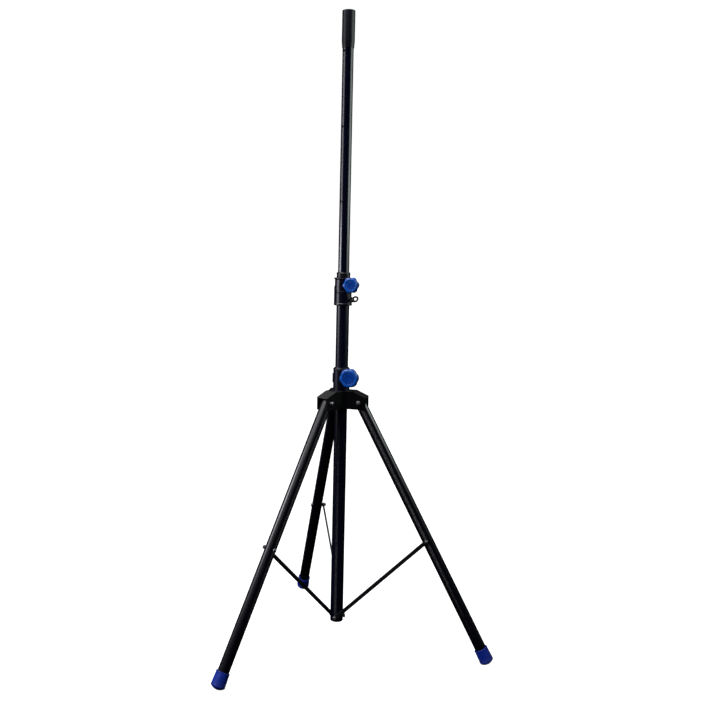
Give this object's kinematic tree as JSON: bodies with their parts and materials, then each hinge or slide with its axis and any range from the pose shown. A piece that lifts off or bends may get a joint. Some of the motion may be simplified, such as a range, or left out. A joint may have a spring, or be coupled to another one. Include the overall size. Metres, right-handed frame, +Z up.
{
  "type": "speaker stand",
  "caption": "Folding tripod speaker stand: telescoping pole with a top spigot, split clamp collars with blue star knobs, a sliding hub, hinged tube legs with struts and blue rubber feet.",
  "frame": {"origin": "centre of the flat underside of the mast's end plug, on the pole axis; the floor under the open legs is at z = -0.0638 m", "axes": "+Z up along the pole towards the spigot, +Y towards the rear leg"},
  "size_m": [0.7476, 0.6526, 1.7208],
  "materials": {
    "mast_paint": "semi-gloss black powder coat on steel tube",
    "tube_gloss": "gloss black enamel on steel tube",
    "black_plastic": "fine-textured moulded black plastic",
    "liner_plastic": "plain black nylon",
    "knob_blue": "glossy moulded blue plastic",
    "foot_rubber": "blue moulded rubber",
    "zinc_steel": "bright zinc-plated steel",
    "brass": "machined brass"
  },
  "bodies": {
    "mast": {"mast_tube": "mast_paint", "mast_end_plug": "black_plastic", "strut_screw_rear": "zinc_steel", "strut_screw_right": "zinc_steel", "strut_screw_left": "zinc_steel", "upper_collar": "black_plastic", "upper_collar_liner": "liner_plastic", "upper_collar_screw": "zinc_steel", "upper_clamp_bolt": "zinc_steel"},
    "upper_clamp_washer": {"upper_clamp_washer": "zinc_steel"},
    "upper_knob": {"upper_knob": "knob_blue", "upper_knob_insert": "brass", "upper_knob_cap": "knob_blue"},
    "safety_pin": {"safety_pin": "mast_paint", "safety_pin_ring": "mast_paint"},
    "tube_guide": {"tube_guide": "liner_plastic"},
    "upper_tube": {"upper_tube": "tube_gloss", "spigot_sleeve": "tube_gloss", "spigot_cap": "black_plastic"},
    "hub": {"hub_housing": "black_plastic", "hub_collar": "black_plastic", "hub_liner": "liner_plastic", "hub_clamp_bolt": "zinc_steel", "leg_pivot_bolt_rear": "zinc_steel", "leg_pivot_bolt_right": "zinc_steel", "leg_pivot_bolt_left": "zinc_steel", "leg_pivot_nut_rear": "zinc_steel", "leg_pivot_nut_right": "zinc_steel", "leg_pivot_nut_left": "zinc_steel"},
    "lower_clamp_washer": {"lower_clamp_washer": "zinc_steel"},
    "lower_knob": {"lower_knob": "knob_blue", "lower_knob_insert": "brass", "lower_knob_cap": "knob_blue"},
    "leg_rear": {"leg_tube_rear": "mast_paint", "leg_plug_rear": "liner_plastic", "foot_rear": "foot_rubber", "strut_bolt_rear": "zinc_steel", "strut_spacer_rear": "liner_plastic"},
    "strut_rear": {"strut_rear": "mast_paint", "strut_nut_rear": "zinc_steel"},
    "leg_right": {"leg_tube_right": "mast_paint", "leg_plug_right": "liner_plastic", "foot_right": "foot_rubber", "strut_bolt_right": "zinc_steel", "strut_spacer_right": "liner_plastic"},
    "strut_right": {"strut_right": "mast_paint", "strut_nut_right": "zinc_steel"},
    "leg_left": {"leg_tube_left": "mast_paint", "leg_plug_left": "liner_plastic", "foot_left": "foot_rubber", "strut_bolt_left": "zinc_steel", "strut_spacer_left": "liner_plastic"},
    "strut_left": {"strut_left": "mast_paint", "strut_nut_left": "zinc_steel"}
  },
  "joints": [
    {"name": "hub_slide", "type": "slide", "parent": "mast", "child": "hub", "axis": [0, 0, 1], "range_m": [0, 0.14761]},
    {"name": "height_slide", "type": "slide", "parent": "mast", "child": "tube_guide", "axis": [0, 0, 1], "range_m": [-0.59, 0.12]},
    {"name": "tube_swivel", "type": "hinge", "parent": "tube_guide", "child": "upper_tube", "pos_m": [0, 0, 0.64], "axis": [0, 0, 1], "continuous": true},
    {"name": "upper_knob_turn", "type": "hinge", "parent": "upper_clamp_washer", "child": "upper_knob", "pos_m": [0.02511, -0.0145, 0.928], "axis": [-0.5, -0.866, 0], "range_deg": [-0.5, 720.5]},
    {"name": "upper_knob_travel", "type": "slide", "parent": "mast", "child": "upper_clamp_washer", "axis": [-0.5, -0.866, 0], "range_m": [0, 0.0025]},
    {"name": "lower_knob_turn", "type": "hinge", "parent": "lower_clamp_washer", "child": "lower_knob", "pos_m": [0.02555, -0.01475, 0.6786], "axis": [-0.5, -0.866, 0], "range_deg": [-0.5, 720.5]},
    {"name": "lower_knob_travel", "type": "slide", "parent": "hub", "child": "lower_clamp_washer", "axis": [-0.5, -0.866, 0], "range_m": [0, 0.0025]},
    {"name": "safety_pin_pull", "type": "slide", "parent": "mast", "child": "safety_pin", "axis": [-0.5, -0.866, 0], "range_m": [0, 0.035]},
    {"name": "leg_fold_rear", "type": "hinge", "parent": "hub", "child": "leg_rear", "pos_m": [0, 0.05412, 0.61], "axis": [1, 0, 0], "range_deg": [-28.31, 0.01]},
    {"name": "strut_fold_rear", "type": "hinge", "parent": "mast", "child": "strut_rear", "pos_m": [0.0194, 0, 0.011], "axis": [1, 0, 0], "range_deg": [-0.01, 36.52]},
    {"name": "leg_fold_right", "type": "hinge", "parent": "hub", "child": "leg_right", "pos_m": [0.04686, -0.02706, 0.61], "axis": [-0.5, -0.866, 0], "range_deg": [-28.31, 0.01]},
    {"name": "strut_fold_right", "type": "hinge", "parent": "mast", "child": "strut_right", "pos_m": [-0.0097, -0.0168, 0.011], "axis": [-0.5, -0.866, 0], "range_deg": [-0.01, 36.52]},
    {"name": "leg_fold_left", "type": "hinge", "parent": "hub", "child": "leg_left", "pos_m": [-0.04686, -0.02706, 0.61], "axis": [-0.5, 0.866, 0], "range_deg": [-28.31, 0.01]},
    {"name": "strut_fold_left", "type": "hinge", "parent": "mast", "child": "strut_left", "pos_m": [-0.0097, 0.0168, 0.011], "axis": [-0.5, 0.866, 0], "range_deg": [-0.01, 36.52]}
  ],
  "couplings": [
    {"joint": "upper_knob_turn", "follows": "upper_knob_travel", "rad_per_m": 5026.5},
    {"joint": "lower_knob_turn", "follows": "lower_knob_travel", "rad_per_m": 5026.5},
    {"joint": "leg_fold_rear", "follows": "hub_slide", "rad_per_m": -3.3462},
    {"joint": "strut_fold_rear", "follows": "hub_slide", "rad_per_m": 4.3173},
    {"joint": "leg_fold_right", "follows": "hub_slide", "rad_per_m": -3.3462},
    {"joint": "strut_fold_right", "follows": "hub_slide", "rad_per_m": 4.3173},
    {"joint": "leg_fold_left", "follows": "hub_slide", "rad_per_m": -3.3462},
    {"joint": "strut_fold_left", "follows": "hub_slide", "rad_per_m": 4.3173}
  ]
}
